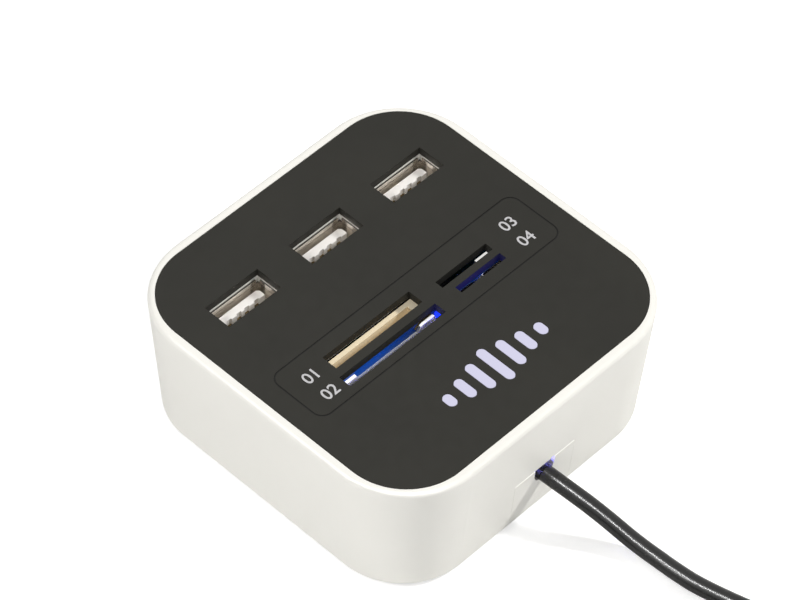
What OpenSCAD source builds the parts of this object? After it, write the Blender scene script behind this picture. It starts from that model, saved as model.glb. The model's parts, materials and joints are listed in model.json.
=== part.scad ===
// Square desk hub with upright USB sockets, card slots and a lit window.
// Millimetres. Z is up and Z = 0 is the surface the feet stand on.
// X runs along the rows of slots, and the cable leaves through the -Y wall.

/* [Plate] */
// Width and depth of the square top plate
plate_w = 72; // [70:0.5:90]
// Radius of the plate's corners, seen from above
plate_corner_r = 13.4; // [8:0.2:16]
// Thickness of the plate
plate_t = 1.8; // [1.2:0.1:2.6]
// Gap round the plate in its recess
plate_gap = 0.1; // [0.05:0.05:0.3]
// Width of the frame line engraved round the card slots
groove_w = 0.3; // [0.2:0.05:0.6]
// Depth of the engraved frame line
groove_depth = 0.1; // [0.1:0.05:0.5]

/* [Housing] */
// Width of the housing's rim beside the plate
rim_w = 2; // [1.6:0.1:4]
// Height of the housing from its lower edge to its rim
housing_h = 29.2; // [28.6:0.2:34]
// How far each side leans in from the rim to the lower edge
draft = 2.1; // [0.5:0.1:3]
// Radius of the outer corners at the rim
corner_r = 17; // [14:0.5:20]
// Thickness of the side walls
wall_t = 1.8; // [1.2:0.1:2.4]
// Thickness of the deck that carries the plate
deck_t = 1.8; // [1.2:0.1:2.2]
// Rounding of the rim's outer edge
rim_round = 1; // [0.4:0.1:1.4]
// Rounding of the housing's lower edge
edge_round = 0.5; // [0.2:0.1:0.8]

/* [Bottom cover] */
// Thickness of the bottom cover
cover_t = 1.8; // [1.2:0.1:2.4]
// Gap between the cover and the housing
cover_gap = 0.15; // [0.05:0.05:0.3]
// Width of the tab that closes the housing under the cable
tab_w = 16; // [12:0.5:20]
// How far the tab reaches above the underside of the main board
tab_over = 0.5; // [0:0.1:0.8]
// Gap round the tab
tab_gap = 0.05; // [0.05:0.05:0.2]
// Chamfer along the tab's upper edge
tab_edge = 0.25; // [0.1:0.05:0.4]
// Width of the round-bottomed slot that the cable leaves through
exit_w = 5.2; // [4.4:0.1:6]
// Thickness of the ribs on the cover
rib_t = 1.5; // [1:0.1:2]

/* [Feet and screws] */
// Diameter of a rubber foot
foot_d = 8; // [6.5:0.5:8.5]
// Height of a foot below the cover
foot_out = 0.8; // [0.5:0.1:1.5]
// Depth of a foot's seat in the cover
foot_seat = 0.8; // [0.4:0.1:1]
// Distance of the corner screws and feet from the plate's edges
corner_inset = 9.2; // [9:0.1:9.5]
// Diameter of a corner boss
corner_boss_d = 6; // [5:0.2:6.4]
// Thread diameter of the cover screws
cover_screw_d = 2.2; // [2:0.1:3]
// Length of a cover screw under its head
cover_screw_l = 8; // [6:0.5:12]
// Thread diameter of the board screws
board_screw_d = 2; // [1.6:0.1:2.6]
// Length of a board screw under its head
board_screw_l = 5; // [4:0.5:8]
// Diameter of a board boss
board_boss_d = 5; // [4.4:0.2:6]

/* [Boards] */
// Length of the main board along X
board_w = 62; // [60:0.5:62]
// Gap between the main board and the corner bosses
board_gap = 0.4; // [0.2:0.1:1]
// Thickness of the main board
board_t = 1.6; // [1:0.1:2]
// Distance of the board bosses from the middle, along X
board_boss_x = 27; // [26.5:0.1:28]
// Thickness of the upright card board
card_board_t = 1.2; // [0.8:0.1:1.4]
// Length of the card board along X
card_board_w = 46; // [46:0.5:48]

/* [USB sockets] */
// Distance between neighbouring USB sockets
usb_pitch = 21.5; // [20:0.5:22]
// Height of a socket above the main board
usb_h = 14; // [13:0.1:15]
// Inner width of a socket's mouth
usb_inner_w = 12.5; // [12.3:0.05:12.7]
// Inner depth of a socket's mouth
usb_inner_d = 5.12; // [5:0.02:5.2]
// Thickness of the socket's sheet metal
usb_shell_t = 0.3; // [0.2:0.05:0.4]
// Width of the socket's tongue
usb_tongue_w = 11.1; // [10.6:0.1:11.6]
// Thickness of the socket's tongue
usb_tongue_t = 1.84; // [1.6:0.04:2]
// How far the tongue's end lies under the socket's rim
usb_tongue_drop = 1.8; // [1:0.1:3]

/* [Card sockets] */
// Width of the card that fits the long rear slot
stick_card_w = 21.5; // [20:0.5:22]
// Thickness of the card that fits the long rear slot
stick_card_t = 2.8; // [2.4:0.1:3]
// Width of the card that fits the long front slot
full_card_w = 24; // [22:0.5:24.5]
// Thickness of the card that fits the long front slot
full_card_t = 2.1; // [1.8:0.1:2.4]
// Width of the card that fits the short rear slot
small_card_w = 12.5; // [11:0.5:13]
// Thickness of the card that fits the short rear slot
small_card_t = 1.2; // [1:0.1:1.6]
// Width of the card that fits the short front slot
micro_card_w = 11; // [10:0.5:12]
// Thickness of the card that fits the short front slot
micro_card_t = 1; // [0.7:0.1:1.3]
// Play of a card in its socket, on each face
card_play = 0.1; // [0.05:0.05:0.2]
// Extra length of a slot in the plate, at each end of its card
slot_end_gap = 0.45; // [0.2:0.05:0.6]
// Extra width of a slot in the plate, on each face of its card
slot_face_gap = 0.35; // [0.2:0.05:0.45]

/* [Lit window] */
// Width of one lit bar
bar_w = 2; // [1.6:0.1:2.6]
// Distance between neighbouring bars
bar_pitch = 4; // [3.6:0.1:4.4]
// Length of the shortest bar
bar_short = 3; // [2.8:0.1:4]
// How much longer each bar is than its outer neighbour
bar_step = 2; // [1:0.1:2.2]
// Gap between a bar and its slot in the plate
bar_gap = 0.1; // [0.05:0.05:0.2]

/* [Cable] */
// Diameter of the cable
cable_d = 3.4; // [3:0.1:4]
// Diameter of the coil at the middle of its turns
coil_d = 40.8; // [40:0.2:44]

/* [Plug] */
// Length of the plug's moulded grip
grip_l = 17; // [15:0.5:19]
// Width of the plug's moulded grip
grip_w = 15; // [14:0.5:18]
// Thickness of the plug's moulded grip
grip_t = 7.6; // [7:0.2:9]
// Length of the plug's metal shell in front of the grip
plug_shell_l = 12; // [11:0.5:13]
// Thickness of the plug shell's sheet metal
plug_shell_t = 0.3; // [0.2:0.05:0.4]

/* [Hidden] */
$fn = 48;
// A small overrun that keeps cuts clear of the faces they pass
e = 0.01;
// How far a cut runs past the outside of what it cuts
over = 4;

// Heights of the main levels
base_z = foot_out;
top_z = base_z + housing_h;
plate_z = top_z - plate_t;
deck_z = plate_z - deck_t;
cover_top_z = base_z + cover_t;
usb_rim_gap = 0.1;
usb_rim_z = plate_z - usb_rim_gap;
board_top_z = usb_rim_z - usb_h;
board_z = board_top_z - board_t;

// The drafted outline: corner rounds about fixed centres, radius growing with height
outer_w = plate_w + 2 * plate_gap + 2 * rim_w;
core = outer_w / 2 - corner_r;
function outer_r(z) = corner_r - draft * (top_z - z) / housing_h;
function half_at(z) = core + outer_r(z);
recess_r = plate_corner_r + plate_gap;

// The cable leaves at this height, lying in the bottom of its round slot
tab_top_z = board_z + tab_over;
exit_r = exit_w / 2;
exit_straight = 1.8;
exit_z = tab_top_z - exit_straight;
cable_r = cable_d / 2;
cable_z = exit_z - exit_r + cable_r;

// Corner bosses, and the main board between them
corner_at = plate_w / 2 - corner_inset;
board_d = 2 * (corner_at - corner_boss_d / 2 - board_gap);
board_front = -board_d / 2;

// The rows of openings
usb_inset = 16.15;
usb_y = plate_w / 2 - usb_inset;
usb_x = [-usb_pitch, 0, usb_pitch];
usb_cut_gap = 0.15;
usb_outer_w = usb_inner_w + 2 * usb_shell_t;
usb_outer_d = usb_inner_d + 2 * usb_shell_t;
usb_opening_d = 6.3;
// Middle of each card slot in the plate
stick_at = [-10.05, -2.15];
full_at = [-9.95, -7.2];
small_at = [12.9, -3.25];
micro_at = [13.85, -6.6];
// Rear and front faces of the card board
card_board_y = -4.3;
card_front_y = card_board_y - card_board_t;
card_board_drop = 0.6;
card_board_top = plate_z - card_board_drop;
card_board_x = -0.9;

// Small-part sizes that repeat
screw_head_h = 1.4;
screw_head_d = 4.2;
head_gap = 0.3;
pilot_gap = 0.1;
cover_post_d = 8;
cover_post_top = 5;
contact_t = 0.2;

// Rounded rectangle about the origin
module rounded(w, d, r) {
    square([w - 2 * r, d], center = true);
    square([w, d - 2 * r], center = true);
    for (x = [-1, 1], y = [-1, 1])
        translate([x * (w / 2 - r), y * (d / 2 - r)])
            circle(r);
}

// Slot with round ends about the origin
module stadium(l, w) {
    square([l - w, w], center = true);
    for (x = [-1, 1])
        translate([x * (l - w) / 2, 0])
            circle(d = w);
}

// Solid under the half profile given as children, swept round the four corners
module swept_square(half) {
    for (a = [0, 90, 180, 270])
        rotate(a)
            translate([half, half])
                rotate_extrude(angle = 90)
                    children();
    for (a = [0, 90, 180, 270])
        rotate(a)
            translate([half, 0])
                rotate([90, 0, 0])
                    linear_extrude(2 * half, center = true)
                        children();
}

// Points of a quarter round of radius r about c, from angle a0 to a1
function arc(c, r, a0, a1, n = 8) =
    [for (i = [0:n]) let (a = a0 + (a1 - a0) * i / n) c + r * [cos(a), sin(a)]];

// Outer profile of the housing, from a corner's centre out, with both edges rounded
module outer_profile(z0, z1) {
    r0 = outer_r(z0);
    r1 = outer_r(z1);
    polygon(concat(
        [[0, z0]],
        arc([r0 - edge_round, z0 + edge_round], edge_round, -90, 0, 4),
        arc([r1 - rim_round, z1 - rim_round], rim_round, 0, 90),
        [[0, z1]]
    ));
}

module inner_profile(z0, z1) {
    polygon([[0, z0], [outer_r(z0) - wall_t, z0], [outer_r(z1) - wall_t, z1], [0, z1]]);
}

module core_block(z0, z1) {
    translate([0, 0, (z0 + z1) / 2])
        cube([2 * core, 2 * core, z1 - z0], center = true);
}

module corner_spots() {
    for (x = [-1, 1], y = [-1, 1])
        translate([x * corner_at, y * corner_at])
            children();
}

board_boss_y = [board_front + 5.4, usb_y - 8.85];
module board_boss_spots() {
    for (x = [-1, 1], y = board_boss_y)
        translate([x * board_boss_x, y])
            children();
}

// The bars of the lit window, each grown by gap on every side
bar_count = 7;
window_inset = 12.5;
window_y = window_inset - plate_w / 2;
bar_long = bar_short + (bar_count - 1) / 2 * bar_step;
module bars(gap = 0) {
    for (i = [0:bar_count - 1]) {
        step = i - (bar_count - 1) / 2;
        translate([step * bar_pitch, window_y])
            rotate(90)
                stadium(bar_long - abs(step) * bar_step + 2 * gap, bar_w + 2 * gap);
    }
}
guide_flange_t = 1;
guide_margin = 2.5;
guide_w = (bar_count - 1) * bar_pitch + bar_w + 2 * guide_margin;
guide_d = bar_long + 2 * guide_margin;
guide_gap = 0.1;
guide_lip = 1.2;

// Openings through the deck
module deck_openings() {
    for (x = usb_x)
        translate([x, usb_y])
            square([usb_outer_w + 2 * usb_cut_gap, usb_outer_d + 2 * usb_cut_gap], center = true);
    translate([card_window[0], card_window[1]])
        square([card_window[2] - card_window[0], card_window[3] - card_window[1]]);
    translate([0, window_y])
        square([guide_w - 2 * guide_lip, guide_d - 2 * guide_lip], center = true);
}

module housing() {
    color("#e9e9e4") {
        difference() {
            union() {
                swept_square(core) outer_profile(base_z, top_z);
                core_block(base_z, top_z);
            }
            // The room inside, open at the bottom
            swept_square(core) inner_profile(base_z - e, deck_z);
            core_block(base_z - e, deck_z);
            // The recess that the plate lies in
            translate([0, 0, plate_z])
                linear_extrude(plate_t + over)
                    rounded(plate_w + 2 * plate_gap, plate_w + 2 * plate_gap, recess_r);
            translate([0, 0, deck_z - over / 2])
                linear_extrude(deck_t + over)
                    deck_openings();
            // Seat of the light guide's flange
            translate([0, window_y, plate_z - guide_flange_t / 2])
                cube([guide_w + 2 * guide_gap, guide_d + 2 * guide_gap, guide_flange_t + 2 * e], center = true);
            // The gap in the wall that the cover's tab fills
            translate([-tab_w / 2, -half_at(top_z), base_z - over])
                cube([tab_w, half_at(top_z) - core, tab_top_z - base_z + over]);
        }
        difference() {
            translate([0, 0, cover_post_top])
                linear_extrude(deck_z - cover_post_top)
                    corner_spots() circle(d = corner_boss_d);
            translate([0, 0, cover_post_top - e])
                linear_extrude(cover_screw_l)
                    corner_spots() circle(d = cover_screw_d + pilot_gap);
        }
        difference() {
            translate([0, 0, board_top_z])
                linear_extrude(deck_z - board_top_z)
                    board_boss_spots() circle(d = board_boss_d);
            translate([0, 0, board_top_z - e])
                linear_extrude(board_screw_l)
                    board_boss_spots() circle(d = board_screw_d + pilot_gap);
        }
    }
}

// A slot of the plate for a card of width w and thickness t
module card_slot(at, w, t) {
    translate(at)
        square([w + 2 * slot_end_gap, t + 2 * slot_face_gap], center = true);
}

frame_line = [-31.7, -10.7, 32, 3.1];
frame_corner_r = 2.5;
module frame_outline(inset) {
    translate([(frame_line[0] + frame_line[2]) / 2, (frame_line[1] + frame_line[3]) / 2])
        rounded(
            frame_line[2] - frame_line[0] - 2 * inset,
            frame_line[3] - frame_line[1] - 2 * inset,
            frame_corner_r - inset
        );
}

module top_plate() {
    color("#3d3c38")
        difference() {
            translate([0, 0, plate_z])
                linear_extrude(plate_t)
                    difference() {
                        rounded(plate_w, plate_w, plate_corner_r);
                        for (x = usb_x)
                            translate([x, usb_y])
                                square([usb_outer_w + 2 * usb_cut_gap, usb_opening_d], center = true);
                        card_slot(stick_at, stick_card_w, stick_card_t);
                        card_slot(full_at, full_card_w, full_card_t);
                        card_slot(small_at, small_card_w, small_card_t);
                        card_slot(micro_at, micro_card_w, micro_card_t);
                        bars(bar_gap);
                    }
            translate([0, 0, top_z - groove_depth])
                linear_extrude(groove_depth + over)
                    difference() {
                        frame_outline(0);
                        frame_outline(groove_w);
                    }
        }
}

module light_guide() {
    color("#dcdaf2") {
        translate([0, window_y, plate_z - guide_flange_t / 2])
            cube([guide_w, guide_d, guide_flange_t], center = true);
        translate([0, 0, plate_z - guide_flange_t / 2])
            linear_extrude(plate_t + guide_flange_t / 2)
                bars();
    }
}

// Walls of the cover that stand inside the housing
cover_half = half_at(base_z) - wall_t - cover_gap;
cover_corner_r = outer_r(base_z) - wall_t - cover_gap;
stop_l = 4;
stop_w = 8;
stop_h = 4;
stop_flat = 0.3;
stop_play = 0.1;
stop_y = -half_at(cable_z - stop_h / 2) + wall_t + stop_play;
rib_y = stop_y + stop_l + stop_play;
rib_w = 12;
rib_slot_gap = 0.15;
rib_slot_w = cable_d + 2 * rib_slot_gap;

module cover_tab() {
    tab_end_z = tab_top_z - tab_gap;
    intersection() {
        union() {
            swept_square(core) outer_profile(base_z, top_z);
            core_block(base_z, top_z);
        }
        difference() {
            translate([-tab_w / 2 + tab_gap, -half_at(top_z), base_z])
                cube([tab_w - 2 * tab_gap, half_at(top_z) - cover_half + wall_t, tab_end_z - base_z]);
            swept_square(core) inner_profile(base_z - e, top_z);
            core_block(base_z - e, top_z);
            cable_slot(exit_w, half_at(top_z));
            // Chamfer along the upper edge, outside
            translate([0, -half_at(tab_end_z), tab_end_z])
                rotate([45, 0, 0])
                    cube([tab_w, tab_edge * sqrt(2), tab_edge * sqrt(2)], center = true);
        }
    }
}

// Upright slot with a round bottom that the cable lies in, cut in from y = -far
module cable_slot(w, far) {
    translate([0, -far - over, exit_z])
        rotate([-90, 0, 0])
            cylinder(h = far, d = w);
    translate([-w / 2, -far - over, exit_z])
        cube([w, far, top_z]);
}

module bottom_cover() {
    color("#dfdfda") {
        difference() {
            union() {
                translate([0, 0, base_z])
                    linear_extrude(cover_t)
                        rounded(2 * cover_half, 2 * cover_half, cover_corner_r);
                translate([0, 0, cover_top_z - e])
                    linear_extrude(cover_post_top - cover_top_z + e)
                        corner_spots() circle(d = cover_post_d);
                // The foot of the tab, from the cover's edge out to the wall's outside
                intersection() {
                    swept_square(core) outer_profile(base_z, top_z);
                    translate([-tab_w / 2 + tab_gap, -half_at(top_z), base_z])
                        cube([tab_w - 2 * tab_gap, half_at(top_z) - cover_half + wall_t, cover_t]);
                }
                cover_tab();
            }
            corner_spots() {
                translate([0, 0, base_z - e])
                    cylinder(h = foot_seat + e, d = foot_d + 2 * cover_gap);
                translate([0, 0, base_z])
                    cylinder(h = foot_seat + screw_head_h + head_gap, d = screw_head_d + 2 * head_gap);
                translate([0, 0, base_z])
                    cylinder(h = cover_post_top, d = cover_screw_d + 2 * pilot_gap);
            }
        }
        // Rib that keeps the cable's stop in place
        difference() {
            translate([-rib_w / 2, rib_y, cover_top_z])
                cube([rib_w, rib_t, board_z - head_gap - cover_top_z]);
            translate([0, rib_y - e, cable_z])
                rotate([-90, 0, 0])
                    cylinder(h = rib_t + 2 * e, d = rib_slot_w);
            translate([-rib_slot_w / 2, rib_y - e, cable_z])
                cube([rib_slot_w, rib_t + 2 * e, over]);
        }
    }
}

foot_edge = 0.4;
module foot(i) {
    x = i % 2 == 0 ? -1 : 1;
    y = i < 2 ? -1 : 1;
    color("#4a4a4c")
        translate([x * corner_at, y * corner_at])
            rotate_extrude()
                polygon([
                    [0, 0],
                    [foot_d / 2 - foot_edge, 0],
                    [foot_d / 2, foot_edge],
                    [foot_d / 2, foot_out + foot_seat],
                    [0, foot_out + foot_seat]
                ]);
}

// Screw with a flat pan head, pointing up, the underside of its head at z = 0
module screw(d, l) {
    recess_d = 0.5 * d;
    recess_depth = 0.5 * screw_head_h;
    difference() {
        union() {
            translate([0, 0, -screw_head_h])
                cylinder(h = screw_head_h, d1 = screw_head_d - 2 * foot_edge, d2 = screw_head_d);
            cylinder(h = l - d / 2, d = d);
            translate([0, 0, l - d / 2])
                cylinder(h = d / 2, d1 = d, d2 = d / 2);
        }
        for (a = [0, 90])
            rotate(a)
                translate([0, 0, -screw_head_h])
                    cube([2 * recess_d, recess_d / 2, 2 * recess_depth], center = true);
    }
}

cover_head_z = base_z + foot_seat + screw_head_h + head_gap;
module cover_screw(i) {
    x = i % 2 == 0 ? -1 : 1;
    y = i < 2 ? -1 : 1;
    color("#8f9296")
        translate([x * corner_at, y * corner_at, cover_head_z])
            screw(cover_screw_d, cover_screw_l - screw_head_h);
}

module board_screw(i) {
    x = i % 2 == 0 ? -1 : 1;
    color("#8f9296")
        translate([x * board_boss_x, board_boss_y[floor(i / 2)], board_z])
            screw(board_screw_d, board_screw_l);
}

leg_w = 1.4;
leg_t = usb_shell_t;
leg_below = 0.8;
leg_l = board_t + leg_below;
leg_gap = 0.15;
module main_board() {
    color("#1f5c3a")
        difference() {
            translate([-board_w / 2, board_front, board_z])
                cube([board_w, board_d, board_t]);
            translate([0, 0, board_z - e])
                linear_extrude(board_t + 2 * e)
                    board_boss_spots() circle(d = board_screw_d + 3 * pilot_gap);
            for (x = usb_x)
                translate([x, usb_y, board_z - e]) {
                    for (s = [-1, 1])
                        translate([s * (usb_outer_w - leg_t) / 2, 0, board_t / 2])
                            cube([leg_t + 2 * leg_gap, leg_w + 2 * leg_gap, board_t + over], center = true);
                    for (c = usb_contact_x)
                        translate([c, usb_contact_y, 0])
                            cylinder(h = board_t + 2 * e, d = usb_pin_w + 2 * leg_gap);
                }
        }
}

// Chip with a row of leads along each long side, standing on z = 0
chip_d = 6;
chip_h = 1.6;
chip_lead_w = 0.3;
chip_lead_l = 1;
chip_lead_t = 0.5;
module chip(w, leads) {
    pitch = w / (leads + 1);
    color("#2a2a2c")
        translate([-w / 2, -chip_d / 2, 0])
            cube([w, chip_d, chip_h]);
    color("#b9bbbd")
        for (s = [-1, 1], i = [0:leads - 1])
            translate([
                (i - (leads - 1) / 2) * pitch - chip_lead_w / 2,
                s * (chip_d + chip_lead_l) / 2 - chip_lead_l / 2,
                0
            ])
                cube([chip_lead_w, chip_lead_l, chip_lead_t]);
}

hub_chip_at = [-14, 7];
hub_chip_w = 10;
module hub_chip() {
    translate([hub_chip_at[0], hub_chip_at[1], board_top_z])
        chip(hub_chip_w, 10);
}

reader_chip_at = [12, 7];
reader_chip_w = 12;
module reader_chip() {
    translate([reader_chip_at[0], reader_chip_at[1], board_top_z])
        chip(reader_chip_w, 12);
}

crystal_y = 6.5;
crystal_l = 10;
crystal_w = 4;
crystal_h = 3.5;
module clock_crystal() {
    color("#c3c5c8")
        translate([0, crystal_y, board_top_z])
            linear_extrude(crystal_h)
                stadium(crystal_l, crystal_w);
}

capacitor_d = 5;
capacitor_h = 5.4;
capacitor_edge = 0.4;
capacitor_x = board_w / 2 - 9.5;
capacitor_y = board_front + 8.4;
module capacitor(s) {
    translate([s * capacitor_x, capacitor_y, board_top_z]) {
        color("#30343c")
            cylinder(h = capacitor_h, d = capacitor_d);
        color("#c3c5c8")
            translate([0, 0, capacitor_h])
                cylinder(h = capacitor_edge, d = capacitor_d - 2 * capacitor_edge);
    }
}

// Flat lamp with a round lens, under the lit window
window_led_at = [6, board_front + 3.9];
window_led_w = 3.5;
window_led_d = 2.8;
window_led_h = 1.2;
lens_d = 2.4;
lens_h = 0.5;
module window_led(s) {
    color("#c9d4ff")
        translate([s * window_led_at[0], window_led_at[1], board_top_z]) {
            translate([-window_led_w / 2, -window_led_d / 2, 0])
                cube([window_led_w, window_led_d, window_led_h]);
            translate([0, 0, window_led_h])
                cylinder(h = lens_h, d = lens_d);
        }
}

// Blue lamp on the front of the card board, level with the long front slot
card_led_x = 3.6;
card_led_w = 1.6;
card_led_t = 0.6;
card_led_h = 1.2;
card_led_drop = 0.6;
module card_led() {
    color("#3a50ff")
        translate([
            card_led_x - card_led_w / 2,
            card_front_y - card_led_t,
            card_board_top - card_led_drop - card_led_h
        ])
            cube([card_led_w, card_led_t, card_led_h]);
}

module card_board() {
    color("#123a78")
        translate([card_board_x - card_board_w / 2, card_front_y, board_top_z])
            cube([card_board_w, card_board_t, card_board_top - board_top_z]);
}

// Right-angled pins that join the card board to the main board, behind it
header_w = 3.6;
header_x = 3;
header_d = 2.4;
module board_header() {
    color("#28282a")
        translate([header_x, card_front_y - header_d, board_top_z])
            cube([header_w, header_d, header_d]);
}

// One USB socket: sheet-metal shell, plastic tongue and four contacts
usb_base_h = 3;
usb_contact_x = [-3.5, -1, 1, 3.5];
usb_pin_w = 1;
usb_contact_y = 0;
usb_contact_t = 0.3;
usb_contact_drop = 1.4;
groove_gap = 0.1;
notch_w = 0.8;
notch_h = 1.1;
spring_slot_w = 0.6;
spring_w = 2.2;
spring_l = 5;
spring_low = 4;
spring_x = 3.2;
module usb_shell() {
    color("#b8b6b0")
        translate([0, 0, board_top_z]) {
            difference() {
                linear_extrude(usb_h)
                    difference() {
                        square([usb_outer_w, usb_outer_d], center = true);
                        square([usb_inner_w, usb_inner_d], center = true);
                    }
                // U-shaped cuts that free the spring fingers in both long walls
                for (s = [-1, 1], x = [-spring_x, spring_x])
                    translate([x, s * usb_outer_d / 2, spring_low]) {
                        for (k = [-1, 1])
                            translate([k * (spring_w + spring_slot_w) / 2, 0, spring_l / 2])
                                cube([spring_slot_w, 4 * usb_shell_t, spring_l], center = true);
                        translate([0, 0, spring_l + spring_slot_w / 2 - e])
                            cube([spring_w + 2 * spring_slot_w, 4 * usb_shell_t, spring_slot_w], center = true);
                    }
                // The sheet is folded, so the mouth is open at its four corners
                for (x = [-1, 1], y = [-1, 1])
                    translate([x * usb_outer_w / 2, y * usb_outer_d / 2, usb_h])
                        cube([2 * notch_w, 2 * notch_w, 2 * notch_h], center = true);
            }
            for (s = [-1, 1])
                translate([s * (usb_outer_w - leg_t) / 2 - leg_t / 2, -leg_w / 2, -leg_l])
                    cube([leg_t, leg_w, leg_l + e]);
        }
}

module usb_tongue() {
    tongue_far = usb_tongue_t;
    tongue_h = usb_h - usb_tongue_drop;
    chamfer = 0.5;
    color("#efece6")
        difference() {
            translate([0, 0, board_top_z])
                union() {
                    translate([-usb_inner_w / 2, -usb_inner_d / 2, 0])
                        cube([usb_inner_w, usb_inner_d, usb_base_h]);
                    linear_extrude(tongue_h)
                        polygon([
                            [-usb_tongue_w / 2, 0],
                            [usb_tongue_w / 2, 0],
                            [usb_tongue_w / 2, tongue_far - chamfer],
                            [usb_tongue_w / 2 - chamfer, tongue_far],
                            [-usb_tongue_w / 2 + chamfer, tongue_far],
                            [-usb_tongue_w / 2, tongue_far - chamfer]
                        ]);
                }
            for (x = usb_contact_x)
                translate([x - usb_pin_w / 2 - groove_gap, -usb_contact_t, board_top_z - e])
                    cube([usb_pin_w + 2 * groove_gap, 2 * usb_contact_t, usb_h]);
        }
}

module usb_contacts() {
    color("#d0b878")
        for (x = usb_contact_x)
            translate([x - usb_pin_w / 2, 0, board_top_z - leg_l])
                cube([usb_pin_w, usb_contact_t, leg_l + usb_h - usb_tongue_drop - usb_contact_drop]);
}

// Spring contacts along a card socket: bent strips that stand on the board side of the pocket
contact_w = 0.6;
contact_reach = 0.45;
module card_contact_strip(h, dir) {
    rotate([90, 0, 90])
        linear_extrude(contact_w, center = true)
            polygon([
                [0, 0], [dir * contact_t, 0],
                [dir * contact_t, 0.35 * h],
                [dir * (contact_reach + contact_t), 0.8 * h],
                [dir * contact_t, h],
                [0, h]
            ]);
}

pocket_floor = 2;
pocket_z = board_top_z + pocket_floor;
module card_contacts(at, y, dir, n, pitch, h) {
    color("#d0b878")
        for (i = [0:n - 1])
            translate([at[0] + (i - (n - 1) / 2) * pitch, y, pocket_z])
                card_contact_strip(h, dir);
}

// Pocket for a card, open upwards
module pocket(at, w, y0, t) {
    translate([at[0] - w / 2 - card_play, y0, pocket_z])
        cube([w + 2 * card_play, t + 2 * card_play, top_z]);
}

stick_back = 0.45;
stick_front = 0.95;
stick_end = 2.4;
stick_side = 1.2;
stick_drop = 3.4;
stick_shift = 0.35;
stick_contact_l = 7;
stick_contact_pitch = 2;
stick_top = top_z - stick_drop;
stick_pocket_y = card_board_y + stick_back;
stick_pocket_at = [stick_at[0] - stick_shift, stick_at[1]];
module stick_card_socket() {
    color("#e3d3b0")
        difference() {
            translate([
                stick_pocket_at[0] - stick_card_w / 2 - card_play - stick_side,
                card_board_y,
                board_top_z
            ])
                cube([
                    stick_card_w + 2 * card_play + stick_side + stick_end,
                    stick_back + stick_card_t + 2 * card_play + stick_front,
                    stick_top - board_top_z
                ]);
            pocket(stick_pocket_at, stick_card_w, stick_pocket_y, stick_card_t);
        }
}

module stick_card_contacts() {
    card_contacts(stick_pocket_at, stick_pocket_y, 1, 10, stick_contact_pitch, stick_contact_l);
}

full_back = 0.4;
full_shell_t = 0.25;
full_pocket_front = card_front_y - full_back - full_card_t - 2 * card_play;
full_mid_drop = 4.5;
full_high_drop = 3;
full_mid_top = top_z - full_mid_drop;
full_high_top = top_z - full_high_drop;
full_left = full_at[0] - full_card_w / 2 - card_play;
full_right = full_at[0] + full_card_w / 2 + card_play;
full_rail = 0.6;
full_contact_l = 7;
full_contact_pitch = 2.5;
// Raised ends of the back wall: a block at one end, a ramp with a shoulder at the other
block_l = 4.5;
block_slope = 0.7;
ramp_top_l = 3.2;
ramp_shoulder_l = 0.8;
ramp_shoulder_drop = 0.4;
ramp_foot_l = 0.7;
ramp_round = 1.2;
// The deck is open over the card board and its sockets
window_gap = 0.5;
card_window = [
    card_board_x - card_board_w / 2 - window_gap,
    full_pocket_front - full_shell_t - window_gap,
    card_board_x + card_board_w / 2 + window_gap,
    stick_pocket_y + stick_card_t + 2 * card_play + stick_front + window_gap
];
module full_card_socket() {
    color("#ececea") {
        // Back wall with a block at one end and a ramped block at the other
        wall_left = full_left - full_rail;
        wall_right = full_right + full_rail;
        ramp_left = wall_right - ramp_top_l - ramp_shoulder_l;
        translate([0, card_front_y, 0])
            rotate([90, 0, 0])
                linear_extrude(full_back)
                    polygon(concat(
                        [[wall_left, board_top_z], [wall_right, board_top_z]],
                        arc([wall_right - ramp_round, full_high_top - ramp_round], ramp_round, 0, 90, 4),
                        [
                            [wall_right - ramp_top_l, full_high_top],
                            [ramp_left, full_high_top - ramp_shoulder_drop],
                            [ramp_left - ramp_foot_l, full_mid_top],
                            [wall_left + block_l + block_slope, full_mid_top],
                            [wall_left + block_l, full_high_top],
                            [wall_left, full_high_top]
                        ]
                    ));
        // Floor and side rails
        rail_d = card_front_y - full_back - full_pocket_front + e;
        translate([wall_left, full_pocket_front, board_top_z])
            cube([wall_right - wall_left, rail_d, pocket_floor]);
        for (x = [wall_left, full_right])
            translate([x, full_pocket_front, board_top_z])
                cube([full_rail, rail_d, full_mid_top - board_top_z]);
    }
}

full_shell_drop = 0.5;
full_window_l = 12;
full_window_w = 3;
full_window_z = 5;
module full_card_shell() {
    color("#b8b6b0")
        difference() {
            translate([full_left - full_rail - full_shell_t, full_pocket_front - full_shell_t, board_top_z])
                cube([
                    full_right - full_left + 2 * full_rail + 2 * full_shell_t,
                    card_front_y - full_pocket_front + full_shell_t,
                    full_mid_top - full_shell_drop - board_top_z
                ]);
            translate([full_left - full_rail, full_pocket_front, board_top_z - e])
                cube([full_right - full_left + 2 * full_rail, over, top_z]);
            // Window in the sheet
            translate([full_at[0], full_pocket_front, board_top_z + full_window_z])
                rotate([90, 0, 0])
                    linear_extrude(2 * full_rail, center = true)
                        stadium(full_window_l, full_window_w);
        }
}

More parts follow.
